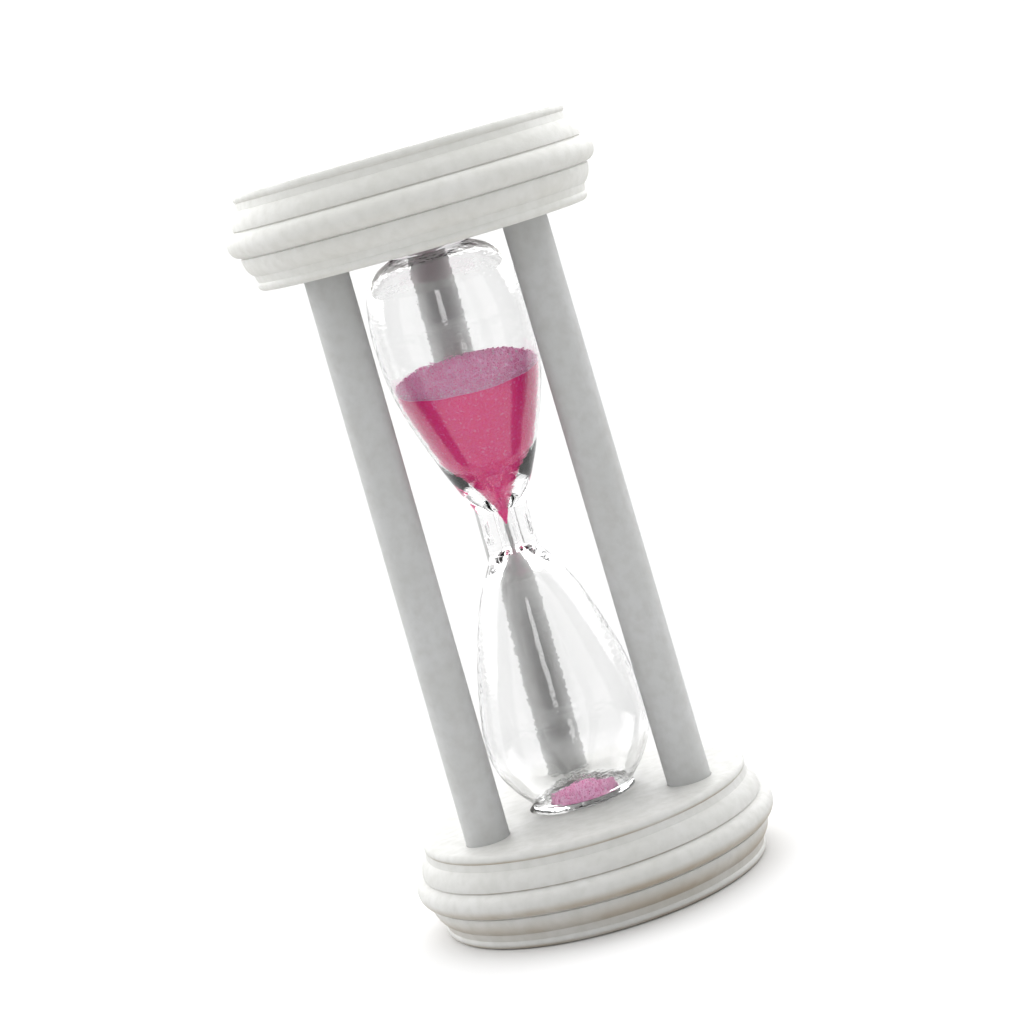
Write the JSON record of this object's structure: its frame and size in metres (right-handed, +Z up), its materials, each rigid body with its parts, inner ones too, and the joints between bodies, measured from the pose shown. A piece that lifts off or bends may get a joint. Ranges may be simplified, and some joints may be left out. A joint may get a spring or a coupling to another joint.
{
  "type": "hourglass",
  "caption": "Small sand timer: a clear two-bulb glass with pink sand, held between two round moulded white wooden plinths by plain round dowels.",
  "frame": {"origin": "centre of the lower plinth's flat bottom face, on the surface the timer stands on", "axes": "+Z up along the timer's axis, -Y the front, with two dowels at the front and one at the rear, +X to the right"},
  "size_m": [0.05, 0.05, 0.1035],
  "materials": {
    "painted_wood": "matte white paint on turned wood",
    "painted_dowel": "matte white paint on dowel",
    "clear_glass": "clear lamp-blown glass, polished by flame",
    "plug_cork": "bare cork",
    "pad_felt": "thin white felt",
    "pink_sand": "fine dyed sand with a slight glitter"
  },
  "bodies": {
    "timer": {"lower_plinth": "painted_wood", "upper_plinth": "painted_wood", "post_front_left": "painted_dowel", "post_front_right": "painted_dowel", "post_rear": "painted_dowel", "glass_vessel": "clear_glass", "fill_plug": "plug_cork", "lower_pad": "pad_felt", "upper_pad": "pad_felt", "upper_sand": "pink_sand", "lower_sand": "pink_sand"},
    "falling_sand": {"falling_sand": "pink_sand"}
  },
  "joints": [
    {"name": "sand_fall", "type": "slide", "parent": "timer", "child": "falling_sand", "axis": [0, 0, -1], "range_m": [0, 0.036]}
  ]
}
